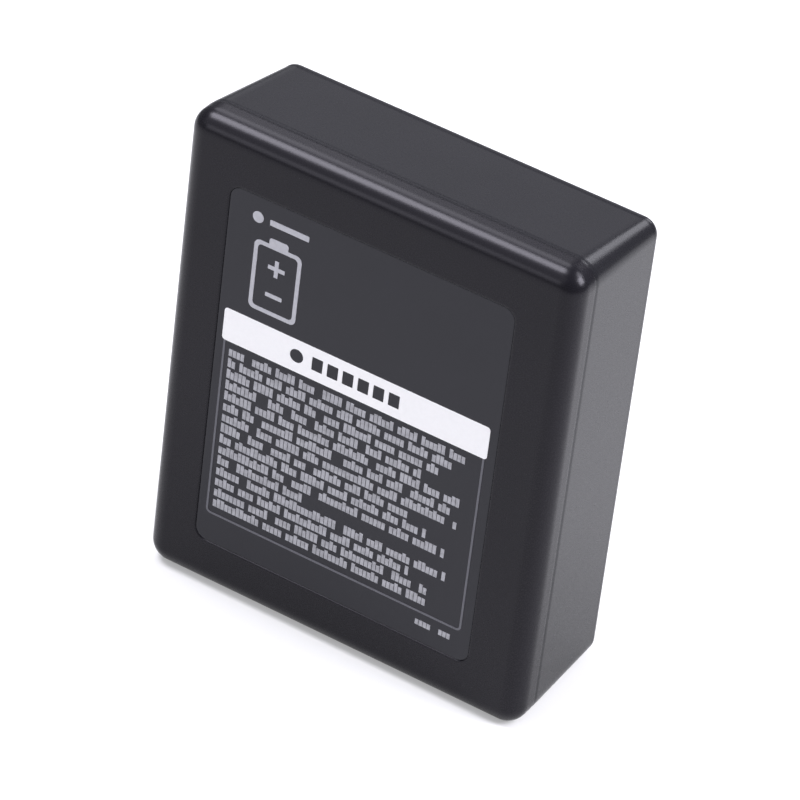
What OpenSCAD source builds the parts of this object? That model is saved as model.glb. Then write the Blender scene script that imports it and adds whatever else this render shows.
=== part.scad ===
// A rechargeable battery pack for a portable printer: two moulded shells closed round three
// round cells in series, with a small board whose contact pads show through the bottom end.
// X runs across the label face, Y from the label face to the back, and Z up.
// The pack stands on its bottom end, with the origin in the middle of that end's outline.

/* [Cells] */
// Diameter of a bare cell
cell_d = 18.3; // [17.6:0.1:19]
// Length of a cell over its positive cap
cell_len = 65.2; // [60:0.1:70]
// Diameter of the positive cap
cap_d = 8.4; // [6:0.2:10]
// Depth of the rolled groove under the positive end
groove_deep = 0.6; // [0.3:0.1:0.9]
// Distance of the rolled groove from the positive end
groove_drop = 3.4; // [2.6:0.1:5]
// Thickness of the insulator ring on the crimped edge
ring_t = 0.2; // [0.1:0.05:0.3]
// Wall of the shrunk sleeve round a cell
sleeve_wall = 0.1; // [0.08:0.01:0.2]
// Gap between a cell and its sleeve
sleeve_gap = 0.02; // [0.01:0.01:0.05]
// Gap between two sleeves side by side
cell_gap = 0.1; // [0.05:0.05:1]

/* [Case] */
// Wall of both shells
wall = 1.4; // [1.2:0.1:1.8]
// Depth of the front cover from its face to the seam
cover_d = 4.5; // [4.2:0.1:7]
// Gap between a sleeve and the front or back wall
cell_slack = 0.88; // [0.4:0.02:1.2]
// Room beside the outer sleeves
side_room = 0.3; // [0.1:0.05:2]
// Room over the back edge of the top end paper
top_room = 0.1; // [0.05:0.05:3]
// How far each side leans in from the seam to the back
side_draft = 0.95; // [0.2:0.05:1.6]
// How far the top leans down from the seam to the back
top_draft = 2.7; // [0.3:0.1:3]
// Radius of the outline's four corners
corner_r = 3.2; // [3:0.1:5]
// Radius of the rolled edge round the front face
front_r = 2.8; // [1.9:0.1:2.9]
// Radius of the edge round the back face
back_r = 1.6; // [0.3:0.1:1.8]

/* [Seam] */
// Wall of the tongue on the rear case
tongue_wall = 0.6; // [0.4:0.05:0.7]
// Height of the tongue past the seam
tongue_len = 1.2; // [0.8:0.1:1.6]
// Clearance round the tongue in the cover
tongue_gap = 0.1; // [0.05:0.05:0.15]
// Width of the groove that shows along the seam
seam_w = 0.2; // [0.15:0.05:0.5]
// Depth of the groove that shows along the seam
seam_deep = 0.2; // [0.15:0.05:0.35]

/* [Ribs] */
// Levels of the cell cradle gussets inside the rear case
cradle_levels = 3; // [2:1:5]
// Distance of the outer cradle levels from the cell ends
cradle_end = 13; // [10:1:22]
// Thickness of a cradle gusset
cradle_t = 1.2; // [0.8:0.1:2]
// Width of a cradle gusset in the valley between two cells
cradle_w = 9; // [6:0.5:10]
// Reach of a cradle gusset from the back wall
cradle_reach = 5; // [3:0.2:6]
// Clearance of a cradle gusset to a sleeve
cradle_gap = 0.1; // [0.05:0.05:0.3]
// Width of the long stiffeners inside the front cover
stiffener_w = 1.2; // [0.8:0.1:1.6]
// Height of the long stiffeners inside the front cover
stiffener_h = 1; // [0.6:0.1:1.2]
// Distance of the stiffeners from the cell ends
stiffener_end = 6; // [4:1:15]

/* [Contacts] */
// Number of contact windows in the bottom end
window_count = 5; // [3:1:6]
// Spacing of the contact windows
window_pitch = 4.6; // [3.8:0.1:5]
// Width of a contact window
window_w = 3; // [2.4:0.1:3.2]
// Length of a contact window from front to back
window_len = 7; // [5:0.5:8]
// Place of the contact windows behind the middle of the pack
window_y = 2.2; // [1:0.1:3]
// Margin of the shallow recess round the contact windows
recess_margin = 1.4; // [0.8:0.1:2]
// Depth of the shallow recess round the contact windows
recess_deep = 0.4; // [0.2:0.1:0.5]
// Clearance of a contact pad to its window on each side
pad_gap = 0.2; // [0.1:0.05:0.4]
// Thickness of a plated contact pad
pad_t = 0.15; // [0.1:0.05:0.3]

/* [Board] */
// Width of the circuit board
board_w = 49; // [47:0.5:50]
// Depth of the circuit board from front to back
board_d = 16.4; // [16:0.1:16.8]
// Thickness of the circuit board
board_t = 0.8; // [0.6:0.1:1]
// Room over the board for its parts
parts_room = 1.5; // [1.45:0.05:3]
// Diameter of the plastic pins through the board
pin_d = 1.8; // [1.4:0.1:2.2]
// Clearance of a pin in its hole, on the radius
pin_gap = 0.15; // [0.1:0.05:0.3]
// Diameter of the melted head on a pin
pin_head_d = 3; // [2.6:0.1:3.4]
// Height of the melted head on a pin
pin_head_h = 0.6; // [0.4:0.1:0.8]
// Distance of the pins from the ends of the board
pin_inset = 3.5; // [2.5:0.1:4]

/* [Board parts] */
// Width of a power switch
switch_w = 4.9; // [4:0.1:5.2]
// Depth of a power switch
switch_d = 3.9; // [3:0.1:4.4]
// Height of a power switch
switch_h = 1.35; // [1:0.05:1.4]
// Gap between the two power switches
switch_gap = 1.9; // [1:0.1:2.4]
// Width of the gauge chip
gauge_w = 6.5; // [5:0.1:7]
// Depth of the gauge chip
gauge_d = 4.4; // [3:0.1:5]
// Height of the gauge chip
gauge_h = 1; // [0.7:0.05:1.3]
// Width of the current shunt
shunt_w = 6.3; // [4:0.1:6.6]
// Depth of the current shunt
shunt_d = 3.2; // [2:0.1:4]
// Height of the current shunt
shunt_h = 0.6; // [0.4:0.05:0.8]
// Gap from the power switches to their neighbours
chip_gap = 5.4; // [4:0.1:6]
// Place of the chips in front of the board's middle
chip_y = 1.6; // [1:0.1:2]
// Length of a chip's legs
chip_leg = 1; // [0.6:0.1:1.2]
// Width of a small part
small_w = 0.8; // [0.5:0.1:1.2]
// Depth of a small part
small_d = 1.5; // [1:0.1:1.6]
// Height of a small part
small_h = 0.6; // [0.4:0.05:0.9]
// Gap between the small parts and the switches' legs
small_gap = 0.6; // [0.3:0.1:0.7]
// Spacing of the small parts
small_pitch = 1.8; // [1.5:0.1:1.9]

/* [Wiring] */
// Thickness of the nickel strips
strip_t = 0.2; // [0.1:0.05:0.3]
// Width of the nickel strips
strip_w = 7; // [5:0.5:8]
// Overlap of a strip past the middle of a cell
strip_over = 3.5; // [2.5:0.5:4.5]
// Width of the tail on a strip
tail_w = 2.4; // [1.6:0.1:3]
// Distance of the tails and leads from the row of cell axes
tail_y = 6.9; // [6.6:0.1:7.4]
// Thickness of the paper over the strips
paper_t = 0.25; // [0.15:0.05:0.4]
// Margin of the paper inside the sleeves' outline
paper_margin = 0.3; // [0.1:0.1:1]
// Width of the web that joins the paper's three discs
paper_web = 10; // [7:0.5:11]
// Diameter of the positive lead
lead_d = 1.6; // [1.2:0.1:1.8]
// Diameter of the sense lead
sense_d = 1; // [0.6:0.1:1.2]
// Shift of the sense lead from the middle of its valley
sense_shift = 1.2; // [1:0.1:1.5]
// Diameter of the temperature sensor's bead
bead_d = 2; // [1.4:0.1:2.2]
// Length of the temperature sensor's bead
bead_len = 4; // [3:0.5:6]
// Height of the bead over the board
bead_up = 9; // [6:1:20]
// Shift of the bead from the middle of its valley
bead_shift = 1.7; // [1.6:0.1:1.8]
// Width of the foam tape between a cell and the back wall
tape_w = 7; // [4:0.5:8]
// Clearance of the foam tape and the front foam to a sleeve
foam_gap = 0.03; // [0.02:0.01:0.1]
// Width of the foam between a cell and the front wall
foam_w = 5; // [3:0.5:7]
// Distance of the foam and the tape from the cell ends
foam_end = 6; // [4:1:15]

/* [Label] */
// Width of the label film
label_w = 43.8; // [40:0.1:48]
// Height of the label film
label_h = 57.7; // [50:0.1:60]
// How far the label's middle lies below the middle of the face
label_drop = 0.4; // [0:0.1:1]
// How far the label's middle lies to the left of the middle of the face
label_shift = 0.4; // [0:0.1:1]
// Radius of the label's corners
label_r = 1.8; // [0.8:0.1:3]
// Thickness of the label film
label_t = 0.2; // [0.1:0.05:0.25]
// Depth of the recess that holds the label
label_deep = 0.3; // [0.3:0.05:0.5]
// Clearance round the label in its recess
label_gap = 0.05; // [0.04:0.01:0.3]
// Thickness of the raised print
ink_t = 0.05; // [0.03:0.01:0.05]
// Distance of the print from the label's left edge
print_left = 1; // [0.6:0.1:2]
// Distance of the print from the label's right edge
print_right = 1.3; // [0.6:0.1:2]
// Distance of the white band's top from the label's top
band_drop = 19.2; // [17:0.1:22]
// Height of the white band
band_h = 5.1; // [4:0.1:7]
// Height of the marks left open in the white band
mark_h = 2.1; // [1.6:0.1:2.6]
// Width of an open block in the white band
mark_w = 1.7; // [1.2:0.1:1.9]
// Distance from one open mark to the next
mark_pitch = 2.4; // [2.1:0.1:2.8]
// Distance of the first open mark from the print's left edge
mark_left = 11.6; // [8:0.1:14]
// Number of open blocks after the dot
mark_count = 6; // [3:1:8]
// Distance of the boxed field's foot from the label's foot
box_foot = 4.7; // [4:0.1:8]
// Thickness of the box's printed line
line_t = 0.3; // [0.2:0.05:0.6]
// Distance of the box's line from the ends of the white band
line_in = 0.3; // [0.1:0.1:0.6]
// Distance from one printed row to the next
row_pitch = 1.79; // [1.5:0.01:2.4]
// Height of a printed row
row_h = 0.85; // [0.5:0.05:1.1]
// Distance of the rows from the box's sides
row_margin = 1; // [0.6:0.1:2]
// Height of the battery sign's outline
sign_h = 10.9; // [8:0.1:11.5]
// Width of the battery sign's outline
sign_w = 7.4; // [5:0.1:9]
// Distance of the battery sign from the print's left edge
sign_left = 3.4; // [2:0.1:6]
// Distance of the battery sign's foot from the band's top
sign_up = 1.8; // [1:0.1:2.5]
// Thickness of the battery sign's lines
sign_t = 0.7; // [0.4:0.05:0.9]
// Width of the plus and the minus in the battery sign
plus_w = 2.6; // [1.6:0.1:3]
// Width of the dot and bar over the battery sign
note_w = 8.8; // [6:0.1:10]
// Height of the dot over the battery sign
note_h = 1.7; // [1:0.1:2]
// Distance of the dot's middle from the label's top
note_drop = 3.2; // [2:0.1:4]
// Width of the small bar under the box
code_w = 5.9; // [3:0.1:8]
// Distance of the small bar from the print's right edge
code_in = 1.4; // [1:0.1:3]
// Distance of the small bar's middle from the box's foot
code_drop = 1.65; // [1.2:0.05:2.5]

/* [Hidden] */
$fn = 32;
// Number of sides of the round corners that are blended into the shells
shell_fn = 32;
// Small overlap that lets a cut run clean past a face
past = 0.5;
// Thickness of a sheet that only marks an outline inside a hull
sliver = 0.05;

// Battery sign: its corners, its cap, and the shares of its height that carry the plus and minus
sign_r = 0.9;
sign_cap_h = 1;
sign_cap_r = 0.4;
cap_share = 0.4;
plus_share = 0.68;
minus_share = 0.28;
// Start of the bar beside the dot
bar_from = 1.6 * note_h;

// Cell profile: rounded foot, half width of the groove, crimped edge, and moat round the cap
foot_r = 0.5;
groove_half = 0.7;
crimp_r = 0.6;
moat_w = 0.9;
moat_deep = 0.7;
// Insulator ring: distance from the can's side and from the cap
ring_in = 0.7;
ring_clear = 1;

// Corners of a contact window, of the board and of the recess round the windows
window_r = 0.5;
board_r = 1;
recess_r = 1;
// Legs along each long side of the chips, and small parts to each side of the middle one
switch_legs = 4;
gauge_legs = 10;
leg_share = 0.35;
foot_share = 0.2;
back_parts = 4;
front_parts = 2;
// Temperature sensor: thickness of its legs, and its shift towards the front
bead_leg_d = 0.5;
bead_out = 0.4;

// Cells side by side
cell_count = 3;
sleeve_d = cell_d + 2 * (sleeve_gap + sleeve_wall);
cell_pitch = sleeve_d + cell_gap;
cells_w = (cell_count - 1) * cell_pitch + sleeve_d;

// Heights of the stack from the bottom end up
board_z = wall;
board_top = board_z + board_t;
low_paper_z = board_top + parts_room;
low_strip_z = low_paper_z + paper_t;
cell_z = low_strip_z + strip_t;
high_strip_z = cell_z + cell_len;
high_paper_z = high_strip_z + strip_t;
stack_top = high_paper_z + paper_t;

// Depths of the case from front to back
body_d = sleeve_d + 2 * (cell_slack + wall);
front_y = -body_d / 2;
back_y = body_d / 2;
seam_y = front_y + cover_d;
// Stretch before the back over which the drafted walls run straight, outside and inside
straight_run = 0.2;
outer_straight = back_r + straight_run;
inner_straight = 0.5;
inner_drafted = back_y - wall - inner_straight - seam_y;
// Share of the draft that the inside has taken at the cells' middle and at their back
middle_share = (0 - seam_y) / inner_drafted;
behind_share = (sleeve_d / 2 - seam_y) / inner_drafted;

// Outside of the case: 60 wide, 73.9 high and 23.1 deep with the sizes above
body_w = cells_w + 2 * (side_room + side_draft * middle_share + wall);
body_h = stack_top + top_room + top_draft * behind_share + wall;
corner_taper = 0.8;
back_corner_r = corner_r - corner_taper;
inner_edge_r = 0.3;
inner_front_r = front_r - wall;

// Places of the label and its print on the front face
label_mid = body_h / 2 - label_drop;
label_top = label_mid + label_h / 2;
label_y = front_y + label_deep;
film_y = label_y - label_t;
print_x = -label_shift - label_w / 2 + print_left;
print_w = label_w - print_left - print_right;
band_top = label_top - band_drop;
band_z = band_top - band_h;
band_r = 0.5;
box_z = label_mid - label_h / 2 + box_foot;
box_h = band_z - box_z;
box_r = 0.8;
row_full = print_w - 2 * (line_t + row_margin);
row_count = floor((box_h - line_t - row_h) / row_pitch);
// Row that ends the first paragraph
short_row = 10;
short_share = 0.36;
// Ragged right edge: mean share of a full row, and the size and step of two waves that vary it
row_mean = 0.9;
row_wave = 0.08;
row_wave_step = 72;
row_ripple = 0.043;
row_ripple_step = 160;

function cell_x(i) = (i - (cell_count - 1) / 2) * cell_pitch;
function valley_x(i) = cell_x(i) + cell_pitch / 2;
function long_share(i) = row_mean + row_wave * cos(i * row_wave_step)
  - row_ripple * sin(i * row_ripple_step);
function row_share(i) = i == short_row ? short_share : long_share(i);

// Rectangle with round corners, centred in X and standing on z
module round_rect(w, z, h, r) {
  translate([-w / 2 + r, z]) square([w - 2 * r, h]);
  translate([-w / 2, z + r]) square([w, h - 2 * r]);
  for (sx = [-1, 1], cz = [z + r, z + h - r]) {
    translate([sx * (w / 2 - r), cz]) circle(r);
  }
}

// Outline of the case at the seam, moved in by a given amount
module case_outline(inset) {
  round_rect(body_w - 2 * inset, inset, body_h - 2 * inset, corner_r - inset);
}

// Outline of the label, made larger by a given margin
module label_outline(margin) {
  translate([-label_shift, 0])
    round_rect(label_w + 2 * margin, label_mid - label_h / 2 - margin,
      label_h + 2 * margin, label_r + margin);
}

// Upright sheet between two depths, from an outline in X and Z
module slab(y0, y1) {
  translate([0, y1, 0]) rotate([90, 0, 0]) linear_extrude(y1 - y0) children();
}

// Disc whose far edge is rolled over, for the corners of a shell
module corner_disc(r, depth, edge) {
  rotate_extrude($fn = shell_fn)
    polygon(concat(
      [[0, 0], [r, 0]],
      [for (a = [0:15:90]) [r - edge + edge * cos(a), depth - edge + edge * sin(a)]],
      [[0, depth]]));
}

// Four copies of a corner at the corners of an outline that may lean in at the sides and top
module four_corners(y, inset, r, side_in, top_in) {
  reach = body_w / 2 - side_in - inset - r;
  for (sx = [-1, 1], z = [inset + r, body_h - top_in - inset - r]) {
    translate([sx * reach, y, z]) children();
  }
}

// Front half of the case as a solid, moved in by a given amount
module cover_solid(inset, edge) {
  hull() four_corners(seam_y, inset, corner_r - inset, 0, 0)
    rotate([90, 0, 0]) corner_disc(corner_r - inset, cover_d - inset, edge);
}

// Rear half of the case as a solid, moved in by a given amount
module case_solid(inset, edge, straight, lead_in) {
  hull() {
    four_corners(seam_y - lead_in, inset, corner_r - inset, 0, 0)
      rotate([-90, 0, 0]) cylinder(r = corner_r - inset, h = sliver + lead_in, $fn = shell_fn);
    four_corners(back_y - inset - straight, inset, back_corner_r - inset, side_draft, top_draft)
      rotate([-90, 0, 0]) corner_disc(back_corner_r - inset, straight, edge);
  }
}

// Band that follows the case outline between two insets and two depths
module outline_band(y0, y1, outer, inner) {
  difference() {
    slab(y0, y1) case_outline(outer);
    slab(y0 - past, y1 + past) case_outline(inner);
  }
}

// Space that every sleeve needs, with a clearance
module sleeve_space(clear) {
  for (i = [0:cell_count - 1]) {
    translate([cell_x(i), 0, 0]) cylinder(r = sleeve_d / 2 + clear, h = body_h);
  }
}

// Gussets that carry the cells at one level of the rear case
module cradle_level(z) {
  inner_back = back_y - wall;
  side_w = cell_pitch / 2;
  for (i = [0:cell_count - 2]) {
    translate([valley_x(i) - cradle_w / 2, inner_back - cradle_reach, z])
      cube([cradle_w, cradle_reach + past, cradle_t]);
  }
  for (sx = [-1, 1]) {
    translate([sx * (cell_x(cell_count - 1) + side_w) - side_w / 2, inner_back - cradle_reach, z])
      cube([side_w, cradle_reach + past, cradle_t]);
  }
}

module cradle() {
  step = (cell_len - 2 * cradle_end) / (cradle_levels - 1);
  intersection() {
    difference() {
      for (i = [0:cradle_levels - 1]) {
        cradle_level(cell_z + cradle_end + i * step - cradle_t / 2);
      }
      sleeve_space(cradle_gap);
    }
    case_solid(wall / 2, inner_edge_r, inner_straight, 0);
  }
}

// Pins that stand up through the board, with melted heads
module board_pins() {
  for (sx = [-1, 1]) {
    translate([sx * (board_w / 2 - pin_inset), window_y, wall / 2]) {
      cylinder(d = pin_d, h = board_top - wall / 2 + past / 2);
      translate([0, 0, board_top - wall / 2]) cylinder(d = pin_head_d, h = pin_head_h);
    }
  }
}

module window_shape(clear) {
  w = window_w - 2 * clear;
  len = window_len - 2 * clear;
  for (i = [0:window_count - 1]) {
    translate([(i - (window_count - 1) / 2) * window_pitch, window_y])
      round_rect(w, -len / 2, len, window_r);
  }
}

module contact_openings() {
  field_w = (window_count - 1) * window_pitch + window_w + 2 * recess_margin;
  field_len = window_len + 2 * recess_margin;
  translate([0, 0, -past]) linear_extrude(wall + 2 * past) window_shape(0);
  translate([0, window_y, -past]) linear_extrude(recess_deep + past)
    round_rect(field_w, -field_len / 2, field_len, recess_r);
}

module front_cover() {
  color([0.09, 0.09, 0.1]) {
    difference() {
      cover_solid(0, front_r);
      translate([0, past, 0]) cover_solid(wall, inner_front_r);
      cover_solid(wall, inner_front_r);
      slab(seam_y - tongue_len - tongue_gap, seam_y + past)
        case_outline(wall - tongue_wall - tongue_gap);
      difference() {
        slab(seam_y - seam_w, seam_y + past) case_outline(-past);
        slab(seam_y - seam_w - past, seam_y + 2 * past) case_outline(seam_deep);
      }
      slab(front_y - past, label_y) label_outline(label_gap);
    }
    for (i = [0:cell_count - 2]) {
      translate([valley_x(i) - stiffener_w / 2, front_y + wall - past / 2, cell_z + stiffener_end])
        cube([stiffener_w, stiffener_h + past / 2, cell_len - 2 * stiffener_end]);
    }
  }
}

module rear_case() {
  color([0.1, 0.1, 0.11]) {
    difference() {
      case_solid(0, back_r, outer_straight, 0);
      case_solid(wall, inner_edge_r, inner_straight, past);
      contact_openings();
    }
    outline_band(seam_y - tongue_len, seam_y + tongue_wall, wall - tongue_wall, wall);
    cradle();
    board_pins();
  }
}

module label_film() {
  color([0.13, 0.13, 0.16])
    slab(film_y, label_y) label_outline(0);
}

// Sheet of print that stands on the film
module ink() {
  slab(film_y - ink_t, film_y) children();
}

// White band with a dot and a row of plain blocks left open in it
module label_band() {
  color([0.93, 0.93, 0.95]) ink() difference() {
    translate([print_x + print_w / 2, 0]) round_rect(print_w, band_z, band_h, band_r);
    translate([print_x + mark_left, band_z + band_h / 2]) circle(d = mark_h);
    for (i = [1:mark_count]) {
      translate([print_x + mark_left + i * mark_pitch, band_z + (band_h - mark_h) / 2])
        square([mark_w, mark_h]);
    }
  }
}

// Open box whose top edge is the white band
module box_outline() {
  difference() {
    translate([print_x + print_w / 2, 0])
      round_rect(print_w - 2 * line_in, box_z, box_h + band_r, box_r);
    translate([print_x + print_w / 2, 0])
      round_rect(print_w - 2 * (line_in + line_t), box_z + line_t, box_h + past, box_r - line_t);
    translate([print_x - past, band_z - label_gap]) square([print_w + 2 * past, band_h]);
  }
}

module print_rows() {
  for (i = [0:row_count - 1]) {
    row_z = band_z - (i + 1) * row_pitch - row_h / 2;
    translate([print_x + line_t + row_margin, row_z]) square([row_full * row_share(i), row_h]);
  }
}

// Plain battery sign: a body with a cap, a plus above and a minus below
module battery_sign() {
  translate([print_x + sign_left + sign_w / 2, band_top + sign_up]) {
    difference() {
      union() {
        round_rect(sign_w, 0, sign_h, sign_r);
        round_rect(sign_w * cap_share, sign_h - sign_r, sign_r + sign_cap_h, sign_cap_r);
      }
      round_rect(sign_w - 2 * sign_t, sign_t, sign_h - 2 * sign_t, sign_r - sign_t / 2);
    }
    translate([-plus_w / 2, sign_h * plus_share - sign_t / 2]) square([plus_w, sign_t]);
    translate([-sign_t / 2, sign_h * plus_share - plus_w / 2]) square([sign_t, plus_w]);
    translate([-plus_w / 2, sign_h * minus_share - sign_t / 2]) square([plus_w, sign_t]);
  }
}

// Dot and short bar over the battery sign
module note_bar() {
  note_x = print_x + sign_left + (sign_w - note_w) / 2;
  note_z = label_top - note_drop;
  translate([note_x + note_h / 2, note_z]) circle(d = note_h);
  translate([note_x + bar_from, note_z - row_h / 2]) square([note_w - bar_from, row_h]);
}

// Small bar under the right end of the box
module code_bar() {
  translate([print_x + print_w - code_in - code_w, box_z - code_drop - row_h / 2])
    square([code_w, row_h]);
}

module label_print() {
  color([0.62, 0.62, 0.66]) ink() {
    box_outline();
    print_rows();
    battery_sign();
    note_bar();
    code_bar();
  }
}

// Section of a cell that stands on its flat end, with its cap on top
module bare_cell() {
  r = cell_d / 2;
  crimp = cell_len - ring_t;
  color([0.72, 0.73, 0.75]) rotate_extrude() polygon([
    [0, 0], [r - foot_r, 0], [r, foot_r],
    [r, crimp - groove_drop - groove_half], [r - groove_deep, crimp - groove_drop],
    [r, crimp - groove_drop + groove_half], [r, crimp - crimp_r], [r - crimp_r, crimp],
    [cap_d / 2 + moat_w, crimp], [cap_d / 2 + moat_w, crimp - moat_deep],
    [cap_d / 2, crimp - moat_deep], [cap_d / 2, cell_len], [0, cell_len]]);
}

// Puts a piece that belongs to a cell in place, turned over for the middle cell
module in_cell(i) {
  if (i % 2 == 0) {
    translate([cell_x(i), 0, cell_z]) children();
  } else {
    translate([cell_x(i), 0, cell_z + cell_len]) rotate([180, 0, 0]) children();
  }
}

module sleeve() {
  color([0.16, 0.42, 0.36]) difference() {
    cylinder(d = sleeve_d, h = cell_len);
    translate([0, 0, -past]) cylinder(d = sleeve_d - 2 * sleeve_wall, h = cell_len + 2 * past);
  }
}

module end_ring() {
  color([0.92, 0.9, 0.84]) translate([0, 0, cell_len - ring_t]) difference() {
    cylinder(d = cell_d - 2 * ring_in, h = ring_t);
    translate([0, 0, -past]) cylinder(d = cap_d + 2 * ring_clear, h = ring_t + 2 * past);
  }
}

// Nickel strip along the row of cells with a tail to one side
module strip_plate(x0, x1, tail_x, tail_dir) {
  linear_extrude(strip_t) {
    translate([x0, -strip_w / 2]) square([x1 - x0, strip_w]);
    translate([tail_x - tail_w / 2, tail_dir > 0 ? 0 : -tail_y - tail_w / 2])
      square([tail_w, tail_y + tail_w / 2]);
  }
}

// Leg that turns down from a tail to the board
module strip_leg(tail_x) {
  translate([tail_x - tail_w / 2, tail_y + tail_w / 2 - strip_t, board_top])
    cube([tail_w, strip_t, low_strip_z - board_top + strip_t]);
}

module top_link_strip() {
  color([0.78, 0.77, 0.73]) translate([0, 0, high_strip_z])
    strip_plate(cell_x(0) - strip_over, cell_x(1) + strip_over, valley_x(0) - sense_shift, -1);
}

module bottom_link_strip() {
  color([0.78, 0.77, 0.73]) {
    translate([0, 0, low_strip_z])
      strip_plate(cell_x(1) - strip_over, cell_x(2) + strip_over, valley_x(1), 1);
    strip_leg(valley_x(1));
  }
}

module positive_tab() {
  color([0.78, 0.77, 0.73]) translate([0, 0, high_strip_z])
    strip_plate(valley_x(1) - tail_w / 2, cell_x(2) + strip_over, valley_x(1), -1);
}

module negative_tab() {
  color([0.78, 0.77, 0.73]) {
    translate([0, 0, low_strip_z])
      strip_plate(cell_x(0) - strip_over, valley_x(0) + tail_w / 2, valley_x(0), 1);
    strip_leg(valley_x(0));
  }
}

// Straight insulated lead in a front valley, from the board up to a tail
module valley_lead(x, d) {
  translate([x, -tail_y, board_top]) cylinder(d = d, h = high_strip_z - board_top);
}

module positive_lead() {
  color([0.7, 0.08, 0.08]) valley_lead(valley_x(1), lead_d);
}

module sense_lead() {
  color([0.9, 0.78, 0.2]) valley_lead(valley_x(0) - sense_shift, sense_d);
}

module end_paper(z) {
  disc_d = sleeve_d - 2 * paper_margin;
  color([0.5, 0.62, 0.52]) translate([0, 0, z]) linear_extrude(paper_t) {
    for (i = [0:cell_count - 1]) {
      translate([cell_x(i), 0]) circle(d = disc_d);
    }
    translate([cell_x(0), -paper_web / 2]) square([cell_x(cell_count - 1) - cell_x(0), paper_web]);
  }
}

module top_end_paper() {
  end_paper(high_paper_z);
}

module bottom_end_paper() {
  end_paper(low_paper_z);
}

module circuit_board() {
  color([0.06, 0.32, 0.16]) translate([0, 0, board_z]) difference() {
    linear_extrude(board_t) round_rect(board_w, -board_d / 2, board_d, board_r);
    for (sx = [-1, 1]) {
      translate([sx * (board_w / 2 - pin_inset), window_y, -past])
        cylinder(d = pin_d + 2 * pin_gap, h = board_t + 2 * past);
    }
  }
}

module contact_pads() {
  color([0.86, 0.68, 0.3]) translate([0, 0, board_z - pad_t])
    linear_extrude(pad_t) window_shape(pad_gap);
}

// Chip on the board with a number of legs along its two long sides
module chip(w, d, h, legs) {
  pitch = w / legs;
  leg_w = pitch * leg_share;
  translate([-w / 2, -d / 2, 0]) cube([w, d, h]);
  for (i = [0:legs - 1]) {
    translate([(i - (legs - 1) / 2) * pitch - leg_w / 2, -d / 2 - chip_leg, 0])
      cube([leg_w, d + 2 * chip_leg, h * foot_share]);
  }
}

module power_switches() {
  color([0.1, 0.1, 0.1]) for (sx = [-1, 1]) {
    translate([sx * (switch_gap + switch_w) / 2, -chip_y, board_top])
      chip(switch_w, switch_d, switch_h, switch_legs);
  }
}

module gauge_chip() {
  color([0.1, 0.1, 0.1])
    translate([-switch_gap / 2 - switch_w - chip_gap - gauge_w / 2, -chip_y, board_top])
      chip(gauge_w, gauge_d, gauge_h, gauge_legs);
}

module current_shunt() {
  color([0.3, 0.3, 0.32])
    translate([switch_gap / 2 + switch_w + chip_gap, -chip_y - shunt_d / 2, board_top])
      cube([shunt_w, shunt_d, shunt_h]);
}

// Two rows of small chip resistors and capacitors, behind and in front of the chips
module small_parts() {
  row_y = switch_d / 2 + chip_leg + small_gap;
  color([0.62, 0.5, 0.36]) {
    for (i = [-back_parts:back_parts]) {
      translate([i * small_pitch - small_w / 2, row_y - chip_y, board_top])
        cube([small_w, small_d, small_h]);
    }
    for (i = [-front_parts:front_parts]) {
      translate([i * small_pitch - small_w / 2, -row_y - small_d - chip_y, board_top])
        cube([small_w, small_d, small_h]);
    }
  }
}

// Sensor bead in a front valley, with two thin legs down to the board
module thermistor() {
  color([0.15, 0.15, 0.16]) translate([valley_x(0) + bead_shift, -tail_y - bead_out, board_top]) {
    translate([0, 0, bead_up]) cylinder(d = bead_d, h = bead_len);
    translate([0, 0, bead_up + bead_len]) sphere(d = bead_d, $fn = 16);
    for (sx = [-1, 1]) {
      translate([sx * bead_d / 4, 0, 0]) cylinder(d = bead_leg_d, h = bead_up + past);
    }
  }
}

// Strips between the cells and a wall, whose near face is at a given depth
module cell_strips(y, w) {
  strip_len = cell_len - 2 * foam_end;
  for (i = [0:cell_count - 1]) {
    translate([cell_x(i) - w / 2, y, cell_z + foam_end])
      cube([w, cell_slack - foam_gap, strip_len]);
  }
}

// Foam tape that holds the cells to the back wall
module cell_tape() {
  color([0.85, 0.85, 0.82]) cell_strips(sleeve_d / 2 + foam_gap, tape_w);
}

// Foam on the front cover that keeps the cells from rattling
module front_foam() {
  color([0.2, 0.2, 0.22]) cell_strips(front_y + wall, foam_w);
}

module cell_1() { in_cell(0) bare_cell(); }
module cell_2() { in_cell(1) bare_cell(); }
module cell_3() { in_cell(2) bare_cell(); }
module sleeve_1() { in_cell(0) sleeve(); }
module sleeve_2() { in_cell(1) sleeve(); }
module sleeve_3() { in_cell(2) sleeve(); }
module ring_1() { in_cell(0) end_ring(); }
module ring_2() { in_cell(1) end_ring(); }
module ring_3() { in_cell(2) end_ring(); }

front_cover();
rear_case();
label_film();
label_band();
label_print();
cell_1();
cell_2();
cell_3();
sleeve_1();
sleeve_2();
sleeve_3();
ring_1();
ring_2();
ring_3();
top_link_strip();
bottom_link_strip();
positive_tab();
negative_tab();
positive_lead();
sense_lead();
top_end_paper();
bottom_end_paper();
circuit_board();
contact_pads();
power_switches();
gauge_chip();
current_shunt();
small_parts();
thermistor();
cell_tape();
front_foam();
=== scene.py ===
import math
import bpy
import bmesh
from mathutils import Matrix, Vector


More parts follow.
